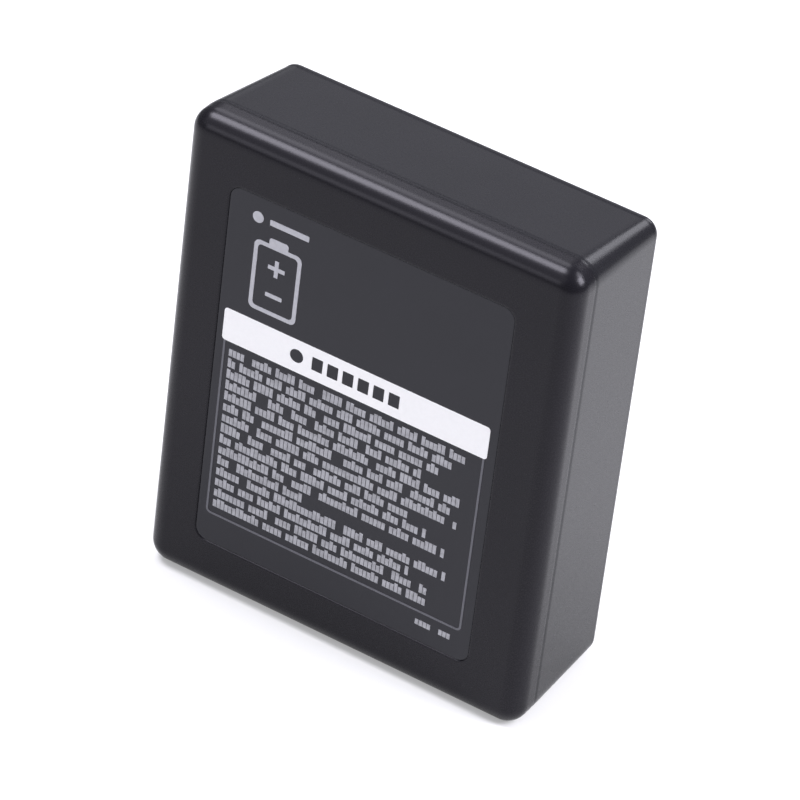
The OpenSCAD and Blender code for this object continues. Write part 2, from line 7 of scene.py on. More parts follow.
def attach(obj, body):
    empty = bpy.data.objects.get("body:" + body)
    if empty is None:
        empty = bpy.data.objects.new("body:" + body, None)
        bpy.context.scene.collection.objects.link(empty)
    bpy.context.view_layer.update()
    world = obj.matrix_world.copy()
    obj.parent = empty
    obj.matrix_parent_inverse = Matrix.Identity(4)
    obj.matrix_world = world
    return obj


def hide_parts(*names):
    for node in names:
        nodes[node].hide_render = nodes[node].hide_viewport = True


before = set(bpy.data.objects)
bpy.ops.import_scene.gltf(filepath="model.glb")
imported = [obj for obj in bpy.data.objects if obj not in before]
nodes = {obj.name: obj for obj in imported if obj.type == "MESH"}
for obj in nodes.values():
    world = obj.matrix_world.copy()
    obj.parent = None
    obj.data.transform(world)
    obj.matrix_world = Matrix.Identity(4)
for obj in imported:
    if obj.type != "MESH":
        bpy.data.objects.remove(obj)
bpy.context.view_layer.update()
mm = 0.001
print("frame loaded:", len(nodes), "nodes")

# Camera at the photograph's viewing angle
camera = {
    "place": (0.305182, -0.568736, 0.500775),
    "right": (0.839012, 0.534258, 0.103093),
    "down": (0.38642, -0.451668, -0.804161),
    "forward": (-0.383066, 0.714538, -0.585403),
    "lens": 269.17,
    "sensor": 36,
    "near": 0.05,
    "far": 50,
}


def makeCamera(c):
    data = bpy.data.cameras.new("photoCamera")
    data.lens = c["lens"]
    data.sensor_width = c["sensor"]
    data.clip_start = c["near"]
    data.clip_end = c["far"]
    thing = bpy.data.objects.new("photoCamera", data)
    bpy.context.scene.collection.objects.link(thing)
    turn = Matrix((c["right"], [-v for v in c["down"]], [-v for v in c["forward"]])).transposed()
    thing.matrix_world = Matrix.Translation(c["place"]) @ turn.to_4x4()
    bpy.context.scene.camera = thing


makeCamera(camera)


class Shade:
    # a node material with its Principled shader and its Object coordinates
    def __init__(self, name, rough=0.4, metal=0.0, specular=0.5, sheenTint=(1, 1, 1)):
        self.material = bpy.data.materials.new(name)
        self.material.use_nodes = True
        self.tree = self.material.node_tree
        self.shader = self.tree.nodes["Principled BSDF"]
        self.shader.inputs["Roughness"].default_value = rough
        self.shader.inputs["Metallic"].default_value = metal
        self.shader.inputs["Specular IOR Level"].default_value = specular
        self.shader.inputs["Specular Tint"].default_value = (*sheenTint, 1)
        self.place = self.add("ShaderNodeTexCoord").outputs["Object"]

    def add(self, kind, **settings):
        node = self.tree.nodes.new(kind)
        for key, value in settings.items():
            setattr(node, key, value)
        return node

    def join(self, source, target):
        self.tree.links.new(source, target)

    def stretched(self, scale):
        mapping = self.add("ShaderNodeMapping")
        mapping.inputs["Scale"].default_value = scale
        self.join(self.place, mapping.inputs["Vector"])
        return mapping.outputs["Vector"]

    def noise(self, size, detail=3.0, coarse=0.5, scale=None):
        node = self.add("ShaderNodeTexNoise")
        node.inputs["Scale"].default_value = 1 / size
        node.inputs["Detail"].default_value = detail
        node.inputs["Roughness"].default_value = coarse
        self.join(self.stretched(scale) if scale else self.place, node.inputs["Vector"])
        return node.outputs["Fac"]

    def ramp(self, value, low, high, start=0.3, end=0.7):
        node = self.add("ShaderNodeMapRange")
        node.inputs["From Min"].default_value = start
        node.inputs["From Max"].default_value = end
        node.inputs["To Min"].default_value = low
        node.inputs["To Max"].default_value = high
        self.join(value, node.inputs["Value"])
        return node.outputs["Result"]

    def blend(self, value, first, second):
        # the first colour where the value is 0, the second where it is 1
        node = self.add("ShaderNodeMix", data_type="RGBA")
        self.join(value, node.inputs["Factor"])
        for socket, colour in (("A", first), ("B", second)):
            target = [s for s in node.inputs if s.name == socket and s.type == "RGBA"][0]
            target.default_value = (*colour, 1)
        return [s for s in node.outputs if s.type == "RGBA"][0]

    def colour(self, value):
        if isinstance(value, (tuple, list)):
            self.shader.inputs["Base Color"].default_value = (*value, 1)
        else:
            self.join(value, self.shader.inputs["Base Color"])

    def roughness(self, value):
        self.join(value, self.shader.inputs["Roughness"])

    def bump(self, value, depth):
        node = self.add("ShaderNodeBump")
        node.inputs["Distance"].default_value = depth
        self.join(value, node.inputs["Height"])
        self.join(node.outputs["Normal"], self.shader.inputs["Normal"])


def tint(colour, factor):
    return tuple(min(1, c * factor) for c in colour)


sharpAngle = 32  # degrees between two faces, over which their edge stays sharp


def meshObject(name, bm):
    bmesh.ops.recalc_face_normals(bm, faces=bm.faces)
    mesh = bpy.data.meshes.new(name)
    bm.to_mesh(mesh)
    bm.free()
    thing = bpy.data.objects.new(name, mesh)
    bpy.context.scene.collection.objects.link(thing)
    smooth(thing)
    return thing


def smooth(thing):
    for polygon in thing.data.polygons:
        polygon.use_smooth = True
    thing.data.set_sharp_from_angle(angle=math.radians(sharpAngle))


def roundRect(left, right, bottom, top, radius, steps=10, hold=0.4):
    # (x, z) points, the same number for every rectangle, with a hold point beside each arc
    points = []
    corners = [(right, top, 1, 1), (left, top, -1, 1),
               (left, bottom, -1, -1), (right, bottom, 1, -1)]
    for turn, (x, z, sx, sz) in enumerate(corners):
        cx, cz = x - sx * radius, z - sz * radius
        start = turn * math.pi / 2
        first = Vector((math.cos(start), math.sin(start)))
        along = Vector((-first.y, first.x))
        centre = Vector((cx, cz))
        points.append(centre + first * radius - along * hold)
        for i in range(steps + 1):
            a = start + i / steps * math.pi / 2
            points.append(centre + Vector((math.cos(a), math.sin(a))) * radius)
        points.append(centre + along * radius + first * -hold)
    return points


def loft(bm, rings):
    # faces from ring to ring, closed at both ends
    loops = [[bm.verts.new(p) for p in ring] for ring in rings]
    for a, b in zip(loops, loops[1:]):
        for i in range(len(a)):
            j = (i + 1) % len(a)
            bm.faces.new((a[i], a[j], b[j], b[i]))
    bm.faces.new(loops[0])
    bm.faces.new(loops[-1])


def quarter(steps):
    # angles from 0 to a quarter turn
    return [i / steps * math.pi / 2 for i in range(steps + 1)]


# The case in millimetres, as in the CAD shells but for a finer seam with a lip on each side.
# A lip is (how far it runs from the seam, how far it falls in).
case = {
    "width": 60.022,
    "height": 73.939,
    "depth": 23.1,
    "wall": 1.4,
    "coverDepth": 4.5,
    "cornerRadius": 3.2,
    "cornerTaper": 0.8,
    "frontRadius": 2.8,
    "backRadius": 1.6,
    "sideDraft": 0.95,
    "topDraft": 2.7,
    "straightRun": 0.2,
    "innerStraight": 0.5,
    "tongueWall": 0.6,
    "tongueLength": 1.2,
    "tongueGap": 0.1,
    "seamWidth": 0.08,
    "seamDepth": 0.15,
    "coverLip": (0.12, 0.06),
    "rearLip": (0.8, 0.08),
    "hold": 0.25,  # ring beside an arc that keeps the flat next to it flat
    "leastRadius": 0.25,
    "frontSteps": 14,
    "innerSteps": 5,
    "backSteps": 10,
    "coverLipSteps": 5,
    "rearLipSteps": 6,
}
frontY = -case["depth"] / 2
backY = case["depth"] / 2
seamY = frontY + case["coverDepth"]

label = {
    "width": 43.8,
    "height": 57.7,
    "drop": 0.4,
    "shift": 0.4,
    "radius": 1.8,
    "recess": 0.3,
    "thickness": 0.2,
    "gap": 0.03,
    "lip": 0.14,
    "lipSteps": 3,
    "edge": 0.07,
    "ink": 0.05,
}
labelMid = case["height"] / 2 - label["drop"]
labelFloor = frontY + label["recess"]
filmY = labelFloor - label["thickness"]


def outlineRing(y, inset=0.0, share=0.0):
    # outline of the case at depth y, moved in by inset, with its share of the draft
    half = case["width"] / 2 - case["sideDraft"] * share - inset
    top = case["height"] - case["topDraft"] * share - inset
    radius = case["cornerRadius"] - case["cornerTaper"] * share - inset
    radius = max(case["leastRadius"], radius)
    return [(x * mm, y * mm, z * mm) for x, z in roundRect(-half, half, inset, top, radius)]


def labelRing(y, margin):
    half = label["width"] / 2 + margin
    tall = label["height"] / 2 + margin
    radius = label["radius"] + margin
    points = roundRect(-label["shift"] - half, -label["shift"] + half,
                       labelMid - tall, labelMid + tall, radius)
    return [(x * mm, y * mm, z * mm) for x, z in points]


def makeCover():
    c = case
    (lip, deep), hold = c["coverLip"], c["hold"]
    rings = [labelRing(labelFloor, label["gap"] - hold), labelRing(labelFloor, label["gap"])]
    for a in quarter(label["lipSteps"]):
        rings.append(labelRing(frontY + label["lip"] * (1 - math.sin(a)),
                               label["gap"] + label["lip"] * (1 - math.cos(a))))
    rings.append(labelRing(frontY, label["gap"] + label["lip"] + hold))
    rings.append(outlineRing(frontY, c["frontRadius"] + hold))
    for a in quarter(c["frontSteps"]):
        rings.append(outlineRing(frontY + c["frontRadius"] * (1 - math.cos(a)),
                                 c["frontRadius"] * (1 - math.sin(a))))
    grooveY = seamY - c["seamWidth"]
    rings.append(outlineRing(frontY + c["frontRadius"] + hold))
    rings.append(outlineRing(grooveY - lip - hold))
    for a in quarter(c["coverLipSteps"]):
        rings.append(outlineRing(grooveY - lip * (1 - math.sin(a)), deep * (1 - math.cos(a))))
    rebate = c["wall"] - c["tongueWall"] - c["tongueGap"]
    rebateY = seamY - c["tongueLength"] - c["tongueGap"]
    inner = c["frontRadius"] - c["wall"]
    rings.append(outlineRing(grooveY, c["seamDepth"]))
    rings.append(outlineRing(seamY, c["seamDepth"]))
    rings.append(outlineRing(seamY, rebate))
    rings.append(outlineRing(rebateY, rebate))
    rings.append(outlineRing(rebateY, c["wall"]))
    for a in reversed(quarter(c["innerSteps"])):
        rings.append(outlineRing(frontY + c["wall"] + inner * (1 - math.cos(a)),
                                 c["wall"] + inner * (1 - math.sin(a))))
    bm = bmesh.new()
    loft(bm, rings)
    return meshObject("frontCover", bm)


def makeRear():
    c = case
    (lip, deep), hold = c["rearLip"], c["hold"]
    straight = c["backRadius"] + c["straightRun"]
    rings = [outlineRing(backY, c["backRadius"] + hold, 1)]
    for a in quarter(c["backSteps"]):
        rings.append(outlineRing(backY - c["backRadius"] * (1 - math.cos(a)),
                                 c["backRadius"] * (1 - math.sin(a)), 1))
    draftY = backY - straight
    length = draftY - seamY
    rings.append(outlineRing(draftY, 0, 1))
    rings.append(outlineRing(draftY - hold, 0, 1 - hold / length))
    rings.append(outlineRing(seamY + lip + hold, 0, (lip + hold) / length))
    for i in range(c["rearLipSteps"] + 1):
        done = i / c["rearLipSteps"]
        along = lip * (1 - done)
        rings.append(outlineRing(seamY + along, deep * (1 - math.cos(done * math.pi)) / 2,
                                 along / length))
    rings.append(outlineRing(seamY, c["wall"] - c["tongueWall"]))
    rings.append(outlineRing(seamY - c["tongueLength"], c["wall"] - c["tongueWall"]))
    rings.append(outlineRing(seamY - c["tongueLength"], c["wall"]))
    rings.append(outlineRing(seamY, c["wall"]))
    innerBack = backY - c["wall"]
    rings.append(outlineRing(innerBack - c["innerStraight"], c["wall"], 1))
    rings.append(outlineRing(innerBack, c["wall"], 1))
    bm = bmesh.new()
    loft(bm, rings)
    return meshObject("rearShell", bm)


contacts = {
    "count": 5,
    "pitch": 4.6,
    "width": 3.0,
    "length": 7.0,
    "y": 2.2,
    "margin": 1.4,
    "recess": 0.4,
    "chamfer": 0.12,
    "windowRadius": 0.5,
    "recessRadius": 1.0,
    "steps": 6,
    "hold": 0.1,
    "below": 0.5,  # the cutters run past the surfaces that they cut
    "overlap": 0.1,
    "above": 0.4,
}


def cutter(bm, cx, cy, width, length, radius, low, high, flareAt):
    # upright cutter with a small chamfer where it leaves the surface at flareAt
    c = contacts["chamfer"]
    rings = []
    for z, grow in ((low, c + flareAt - low), (flareAt + c, 0), (high, 0)):
        points = roundRect(cx - width / 2 - grow, cx + width / 2 + grow,
                           cy - length / 2 - grow, cy + length / 2 + grow,
                           radius + grow, contacts["steps"], contacts["hold"])
        rings.append([(x * mm, y * mm, z * mm) for x, y in points])
    loft(bm, rings)


def cutContacts(rear):
    c = contacts
    field = bmesh.new()
    span = (c["count"] - 1) * c["pitch"] + c["width"] + 2 * c["margin"]
    cutter(field, 0, c["y"], span, c["length"] + 2 * c["margin"], c["recessRadius"],
           -c["below"], c["recess"], 0)
    windows = bmesh.new()
    for i in range(c["count"]):
        x = (i - (c["count"] - 1) / 2) * c["pitch"]
        cutter(windows, x, c["y"], c["width"], c["length"], c["windowRadius"],
               c["recess"] - c["overlap"], case["wall"] + c["above"], c["recess"])
    tools = [meshObject("fieldCutter", field), meshObject("windowCutter", windows)]
    for tool in tools:
        cut = rear.modifiers.new("cut", "BOOLEAN")
        cut.object = tool
        cut.operation = "DIFFERENCE"
        cut.solver = "EXACT"
    bake(rear)
    for tool in tools:
        bpy.data.objects.remove(tool)
    smooth(rear)


def bake(thing):
    # turns the evaluated result into the object's own plain mesh
    graph = bpy.context.evaluated_depsgraph_get()
    mesh = bpy.data.meshes.new_from_object(thing.evaluated_get(graph), depsgraph=graph)
    thing.modifiers.clear()
    thing.data = mesh


frontCover = makeCover()
rearShell = makeRear()
cutContacts(rearShell)
print("case shells made")


def makeFilm():
    edge, hold = label["edge"], case["hold"]
    rings = [labelRing(labelFloor, -hold), labelRing(labelFloor, 0), labelRing(filmY + edge, 0)]
    for a in quarter(label["lipSteps"])[1:]:
        rings.append(labelRing(filmY + edge * (1 - math.sin(a)), -edge * (1 - math.cos(a))))
    rings.append(labelRing(filmY, -edge - hold))
    bm = bmesh.new()
    loft(bm, rings)
    return meshObject("labelFilm", bm)


# Print on the film, in millimetres
printed = {
    "left": 1.0,
    "right": 1.3,
    "bandDrop": 19.2,
    "bandHeight": 5.1,
    "bandRadius": 0.5,
    "markHeight": 2.1,
    "markWidth": 1.7,
    "markPitch": 2.4,
    "markLeft": 11.6,
    "markCount": 6,
    "boxFoot": 4.7,
    "boxRadius": 0.8,
    "boxSteps": 8,
    "line": 0.3,
    "lineIn": 0.3,
    "rowPitch": 1.79,
    "rowHeight": 0.85,
    "rowMargin": 1.0,
    "rowCount": 15,
    "signHeight": 10.9,
    "signWidth": 7.4,
    "signLeft": 3.4,
    "signUp": 1.8,
    "signLine": 0.6,
    "signRadius": 0.9,
    "signSteps": 6,
    "signHold": 0.05,
    "capShare": 0.4,
    "capHeight": 1.0,
    "capRadius": 0.4,
    "capSteps": 5,
    "plusWidth": 2.6,
    "plusShare": 0.68,
    "minusShare": 0.28,
    "noteWidth": 8.8,
    "noteHeight": 1.7,
    "noteDrop": 3.2,
    "barFrom": 1.6,  # start of the bar beside the dot, in dots
    "codeWidth": 5.9,
    "codeIn": 1.4,
    "codeDrop": 1.65,
    "weld": 0.0005,
}
printX = -label["shift"] - label["width"] / 2 + printed["left"]
printWidth = label["width"] - printed["left"] - printed["right"]
labelTop = labelMid + label["height"] / 2
bandTop = labelTop - printed["bandDrop"]
bandZ = bandTop - printed["bandHeight"]
boxZ = labelMid - label["height"] / 2 + printed["boxFoot"]


def rectangle(x, z, width, height, radius=0.12, steps=4):
    return roundRect(x, x + width, z, z + height, radius, steps, 0.01)


def disc(x, z, diameter, steps=32):
    turn = 2 * math.pi / steps
    return [(x + diameter / 2 * math.cos(i * turn), z + diameter / 2 * math.sin(i * turn))
            for i in range(steps)]


def inkPiece(name, loops):
    # closed outlines filled as a flat curve, where one inside another leaves a hole
    curve = bpy.data.curves.new(name, "CURVE")
    curve.dimensions = "2D"
    curve.fill_mode = "BOTH"
    curve.extrude = label["ink"] / 2
    for loop in loops:
        spline = curve.splines.new("POLY")
        spline.points.add(len(loop) - 1)
        spline.use_cyclic_u = True
        for point, (x, z) in zip(spline.points, loop):
            point.co = (x, z, 0, 1)
    source = bpy.data.objects.new(name, curve)
    bpy.context.scene.collection.objects.link(source)
    graph = bpy.context.evaluated_depsgraph_get()
    mesh = bpy.data.meshes.new_from_object(source.evaluated_get(graph), depsgraph=graph)
    bpy.data.objects.remove(source)
    bm = bmesh.new()
    bm.from_mesh(mesh)
    bmesh.ops.remove_doubles(bm, verts=bm.verts, dist=printed["weld"])
    for v in bm.verts:
        x, z, up = v.co
        v.co = (x * mm, (filmY - label["ink"] / 2 - up) * mm, z * mm)
    return meshObject(name, bm)


def makeBand():
    p = printed
    loops = [rectangle(printX, bandZ, printWidth, p["bandHeight"], p["bandRadius"], 8)]
    middle = bandZ + p["bandHeight"] / 2
    loops.append(disc(printX + p["markLeft"], middle, p["markHeight"]))
    for i in range(1, p["markCount"] + 1):
        markX = printX + p["markLeft"] + i * p["markPitch"]
        loops.append(rectangle(markX, middle - p["markHeight"] / 2,
                               p["markWidth"], p["markHeight"]))
    return inkPiece("labelBand", loops)


def makeBox():
    # line down the left side, along the foot and up the right side, open under the white band
    p = printed
    left, right = printX + p["lineIn"], printX + printWidth - p["lineIn"]
    top = bandZ - label["gap"]

    def bend(inset):
        r = p["boxRadius"] - inset
        low, x0, x1 = boxZ + inset, left + inset, right - inset
        path = [(x0, top)]
        for cx, start in ((x0 + r, math.pi), (x1 - r, 1.5 * math.pi)):
            for a in quarter(p["boxSteps"]):
                path.append((cx + r * math.cos(start + a), low + r + r * math.sin(start + a)))
        return path + [(x1, top)]

    return inkPiece("labelBox", [bend(0) + list(reversed(bend(p["line"])))])


def makeSigns():
    p = printed
    cx = printX + p["signLeft"] + p["signWidth"] / 2
    foot = bandTop + p["signUp"]
    w, h, t, r = p["signWidth"], p["signHeight"], p["signLine"], p["signRadius"]
    capWidth = w * p["capShare"]
    steps, hold = p["signSteps"], p["signHold"]
    body = roundRect(cx - w / 2, cx + w / 2, foot, foot + h, r, steps, hold)
    cap = roundRect(cx - capWidth / 2, cx + capWidth / 2, foot + h - r, foot + h + p["capHeight"],
                    p["capRadius"], p["capSteps"], hold)
    # the cap's outline takes the place of the body's top edge between the two
    top = foot + h
    upper = [q for q in cap if q[1] > top]
    rightArc = [q for q in body if q[0] > cx and q[1] > foot + h / 2]
    leftArc = [q for q in body if q[0] < cx and q[1] > foot + h / 2]
    lower = [q for q in body if q[1] < foot + h / 2]
    upper = [(cx + capWidth / 2, top)] + upper + [(cx - capWidth / 2, top)]
    outer = rightArc + upper + leftArc + lower
    inner = roundRect(cx - w / 2 + t, cx + w / 2 - t, foot + t, foot + h - t,
                      r - t / 2, steps, hold)
    plusZ, minusZ, arm = foot + h * p["plusShare"], foot + h * p["minusShare"], p["plusWidth"] / 2
    u = t / 2
    plus = [(arm, u), (u, u), (u, arm), (-u, arm), (-u, u), (-arm, u),
            (-arm, -u), (-u, -u), (-u, -arm), (u, -arm), (u, -u), (arm, -u)]
    loops = [outer, inner, [(cx + x, plusZ + z) for x, z in plus],
             rectangle(cx - arm, minusZ - t / 2, 2 * arm, t)]
    noteX = printX + p["signLeft"] + (p["signWidth"] - p["noteWidth"]) / 2
    noteZ = labelTop - p["noteDrop"]
    loops.append(disc(noteX + p["noteHeight"] / 2, noteZ, p["noteHeight"]))
    barFrom = p["barFrom"] * p["noteHeight"]
    loops.append(rectangle(noteX + barFrom, noteZ - p["rowHeight"] / 2,
                           p["noteWidth"] - barFrom, p["rowHeight"]))
    return inkPiece("batterySign", loops)


# Rows of plain blocks, made by Geometry Nodes
rows = {
    "letterPitch": 0.62,
    "letterWidth": 0.53,
    "letterHeight": 1.08,
    "wordLength": 6.2,  # in blocks, with the space after it
    "wordShift": 2.6,
    "firstWord": 1.5,
    "warp": 0.7,
    "warpStep": 0.21,
    "warpJump": 7.3,
    "tallShare": 0.4,
    "tallScale": 1.3,
    "mean": 0.9,
    "wave": 0.08,
    "waveStep": 72,
    "ripple": 0.043,
    "rippleStep": 160,
    "shortRow": 10,
    "shortShare": 0.36,
    "seed": 7,
}


def rowTree(material):
    tree = bpy.data.node_groups.new("printRows", "GeometryNodeTree")
    face = tree.interface
    face.new_socket("Geometry", in_out="OUTPUT", socket_type="NodeSocketGeometry")
    for name, kind, value in (
        ("Row Length", "NodeSocketFloat", 1.0), ("Row Pitch", "NodeSocketFloat", 1.0),
        ("Rows", "NodeSocketInt", 15), ("Block Pitch", "NodeSocketFloat", 1.0),
        ("Block Width", "NodeSocketFloat", 1.0), ("Block Height", "NodeSocketFloat", 1.0),
        ("Block Thickness", "NodeSocketFloat", 1.0), ("Word Length", "NodeSocketFloat", 5.0),
        ("Tall Share", "NodeSocketFloat", 0.2), ("Tall Scale", "NodeSocketFloat", 1.3),
        ("Short Row", "NodeSocketInt", 10), ("Seed", "NodeSocketInt", 1),
    ):
        socket = face.new_socket(name, in_out="INPUT", socket_type=kind)
        socket.default_value = value
    start = tree.nodes.new("NodeGroupInput").outputs
    end = tree.nodes.new("NodeGroupOutput").inputs

    def add(kind, **settings):
        node = tree.nodes.new(kind)
        for key, value in settings.items():
            setattr(node, key, value)
        return node

    def maths(operation, *values):
        node = add("ShaderNodeMath", operation=operation)
        for socket, value in zip(node.inputs, values):
            if isinstance(value, (int, float)):
                socket.default_value = value
            else:
                tree.links.new(value, socket)
        return node.outputs[0]

    def vector(x, y, z):
        node = add("ShaderNodeCombineXYZ")
        for socket, value in zip(node.inputs, (x, y, z)):
            if isinstance(value, (int, float)):
                socket.default_value = value
            else:
                tree.links.new(value, socket)
        return node.outputs[0]

    # one point for each block of a full row, column by column
    columns = maths("FLOOR", maths("DIVIDE", start["Row Length"], start["Block Pitch"]))
    points = add("GeometryNodeMeshLine", mode="OFFSET")
    tree.links.new(maths("MULTIPLY", columns, start["Rows"]), points.inputs["Count"])
    index = add("GeometryNodeInputIndex").outputs[0]
    row = maths("FLOOR", maths("DIVIDE", maths("ADD", index, 0.5), columns))
    column = maths("SUBTRACT", index, maths("MULTIPLY", row, columns))
    x = maths("MULTIPLY", column, start["Block Pitch"])
    z = maths("MULTIPLY", maths("ADD", row, 1), maths("MULTIPLY", start["Row Pitch"], -1))
    place = add("GeometryNodeSetPosition")
    tree.links.new(points.outputs[0], place.inputs["Geometry"])
    tree.links.new(vector(x, 0, z), place.inputs["Position"])

    # ragged right edge: two waves over the rows, and one short row
    wave = maths("COSINE", maths("RADIANS", maths("MULTIPLY", row, rows["waveStep"])))
    ripple = maths("SINE", maths("RADIANS", maths("MULTIPLY", row, rows["rippleStep"])))
    longShare = maths("SUBTRACT", maths("MULTIPLY_ADD", wave, rows["wave"], rows["mean"]),
                      maths("MULTIPLY", ripple, rows["ripple"]))
    isShort = maths("COMPARE", row, start["Short Row"], 0.5)
    cutBack = maths("MULTIPLY", isShort, maths("SUBTRACT", longShare, rows["shortShare"]))
    share = maths("SUBTRACT", longShare, cutBack)
    limit = maths("SUBTRACT", maths("MULTIPLY", share, start["Row Length"]), start["Block Width"])
    past = maths("GREATER_THAN", x, limit)

    def chance(key, share):
        node = add("FunctionNodeRandomValue", data_type="BOOLEAN")
        tree.links.new(share, node.inputs["Probability"])
        tree.links.new(maths("ADD", start["Seed"], key), node.inputs["Seed"])
        tree.links.new(index, node.inputs["ID"])
        return [s for s in node.outputs if s.type == "BOOLEAN"][0]

    # a word ends where a count of words, warped by noise, passes a whole number
    warp = add("ShaderNodeTexNoise", noise_dimensions="2D")
    warp.inputs["Scale"].default_value = 1
    warp.inputs["Detail"].default_value = 0
    tree.links.new(vector(maths("MULTIPLY", column, rows["warpStep"]),
                          maths("MULTIPLY_ADD", row, rows["warpJump"], start["Seed"]), 0),
                   warp.inputs["Vector"])
    shifted = maths("MULTIPLY_ADD", row, rows["wordShift"], column)
    words = maths("MULTIPLY_ADD", warp.outputs[0], rows["warp"],
                  maths("DIVIDE", shifted, start["Word Length"]))
    space = maths("DIVIDE", 1, start["Word Length"])
    gap = maths("MULTIPLY", maths("LESS_THAN", maths("FRACT", words), space),
                maths("GREATER_THAN", column, rows["firstWord"]))
    remove = add("GeometryNodeDeleteGeometry", domain="POINT")
    tree.links.new(place.outputs[0], remove.inputs["Geometry"])
    tree.links.new(maths("GREATER_THAN", maths("ADD", past, gap), 0.5), remove.inputs["Selection"])

    block = add("GeometryNodeMeshCube")
    tree.links.new(vector(start["Block Width"], start["Block Thickness"], start["Block Height"]),
                   block.inputs["Size"])
    shift = add("GeometryNodeTransform")
    tree.links.new(block.outputs["Mesh"], shift.inputs["Geometry"])
    tree.links.new(vector(maths("MULTIPLY", start["Block Width"], 0.5),
                          maths("MULTIPLY", start["Block Thickness"], -0.5),
                          maths("MULTIPLY", start["Block Height"], 0.5)),
                   shift.inputs["Translation"])
    tall = maths("MULTIPLY_ADD", chance(1, start["Tall Share"]),
                 maths("SUBTRACT", start["Tall Scale"], 1), 1)
    spread = add("GeometryNodeInstanceOnPoints")
    tree.links.new(remove.outputs[0], spread.inputs["Points"])
    tree.links.new(shift.outputs[0], spread.inputs["Instance"])
    tree.links.new(vector(1, 1, tall), spread.inputs["Scale"])
    real = add("GeometryNodeRealizeInstances")
    tree.links.new(spread.outputs[0], real.inputs[0])
    dress = add("GeometryNodeSetMaterial")
    dress.inputs["Material"].default_value = material
    tree.links.new(real.outputs[0], dress.inputs["Geometry"])
    tree.links.new(dress.outputs[0], end[0])
    return tree


def makeRows(name, material, left, top, length, count, height):
    r = rows
    tree = rowTree(material)
    thing = bpy.data.objects.new(name, bpy.data.meshes.new(name))
    bpy.context.scene.collection.objects.link(thing)
    modifier = thing.modifiers.new("rows", "NODES")
    modifier.node_group = tree
    values = {
        "Row Length": length * mm, "Row Pitch": printed["rowPitch"] * mm, "Rows": count,
        "Block Pitch": r["letterPitch"] * mm, "Block Width": r["letterWidth"] * mm,
        "Block Height": height * mm, "Block Thickness": label["ink"] * mm,
        "Word Length": r["wordLength"], "Tall Share": r["tallShare"], "Tall Scale": r["tallScale"],
        "Short Row": r["shortRow"], "Seed": r["seed"],
    }
    for socket in tree.interface.items_tree:
        if socket.in_out == "INPUT":
            modifier[socket.identifier] = values[socket.name]
    bake(thing)
    thing.data.transform(Matrix.Translation((left * mm, filmY * mm, top * mm)))
    return thing


def makePrint(material):
    p = printed
    inside = p["line"] + p["rowMargin"]
    main = makeRows("printRows", material, printX + inside, bandZ - p["rowHeight"] / 2,
                    printWidth - 2 * inside, p["rowCount"], rows["letterHeight"])
    code = makeRows("codeRow", material, printX + printWidth - p["codeIn"] - p["codeWidth"],
                    boxZ - p["codeDrop"] - p["rowHeight"] / 2 + p["rowPitch"],
                    p["codeWidth"], 1, p["rowHeight"])
    return main, code


# Shade and roughness that every moulded surface varies by, with sizes in metres
moulding = {
    "cloud": 0.012,
    "cloudDetail": 3,
    "spread": 0.07,
    "grainDetail": 2,
    "grainCoarse": 0.6,
    "roughSpread": 0.02,
}


def mouldedPlastic(name, look):
    m = moulding
    s = Shade(name, look["rough"], specular=look["specular"], sheenTint=look["sheen"])
    cloud = s.noise(m["cloud"], m["cloudDetail"])
    s.colour(s.blend(s.ramp(cloud, 0, 1), tint(look["colour"], 1 - m["spread"]),
                     tint(look["colour"], 1 + m["spread"])))
    grain = s.noise(look["grain"], m["grainDetail"], m["grainCoarse"])
    s.roughness(s.ramp(grain, look["rough"] - m["roughSpread"], look["rough"] + m["roughSpread"]))
    s.bump(grain, look["depth"])
    return s.material


coverLook = {
    "colour": (0.0062, 0.0058, 0.0078), "rough": 0.27, "specular": 0.18,
    "sheen": (0.95, 0.93, 1.0), "grain": 0.00016, "depth": 0.0000005,
}
rearLook = {
    "colour": (0.0080, 0.0078, 0.0098), "rough": 0.28, "specular": 0.15,
    "sheen": (0.94, 0.96, 1.0), "grain": 0.00018, "depth": 0.0000006,
}
filmLook = {
    "colour": (0.0080, 0.0080, 0.0112), "rough": 0.24, "specular": 0.29,
    "sheen": (0.95, 0.95, 1.0), "grain": 0.0009, "depth": 0.000001,
}
coverPlastic = mouldedPlastic("coverPlastic", coverLook)
rearPlastic = mouldedPlastic("rearPlastic", rearLook)
filmPlastic = mouldedPlastic("labelFilm", filmLook)


ink = {"rough": 0.5, "specular": 0.4, "start": 0.35, "end": 0.6, "fleck": 0.0002, "depth": 0.000004}


def inkFinish(name, colour, low=0.9, patch=0.0006):
    # ink in patches between its own colour and a share of it
    s = Shade(name, ink["rough"], specular=ink["specular"])
    patches = s.ramp(s.noise(patch, 4, 0.7), 0, 1, ink["start"], ink["end"])
    s.colour(s.blend(patches, tint(colour, low), colour))
    s.bump(s.noise(ink["fleck"], 2), ink["depth"])
    return s.material


whiteInk = inkFinish("whiteInk", (0.845, 0.84, 0.84), 0.975)
greyInk = inkFinish("greyInk", (0.37, 0.37, 0.395), 0.7, 0.0009)
signInk = inkFinish("signInk", (0.43, 0.43, 0.46))
lineInk = inkFinish("lineInk", (0.10, 0.10, 0.115))


metal = {"dark": 0.88, "bright": 1.06, "smoother": 0.06, "rougher": 0.08, "depth": 0.000004}


def metalFinish(name, colour, rough, streak, grain=0.0004):
    s = Shade(name, rough, 1.0)
    lines = s.noise(grain, 3, 0.6, streak)
    s.colour(s.blend(s.ramp(lines, 0, 1), tint(colour, metal["dark"]),
                     tint(colour, metal["bright"])))
    s.roughness(s.ramp(lines, rough - metal["smoother"], rough + metal["rougher"]))
    s.bump(lines, metal["depth"])
    return s.material


plain = {"spread": 0.12, "roughSpread": 0.05}


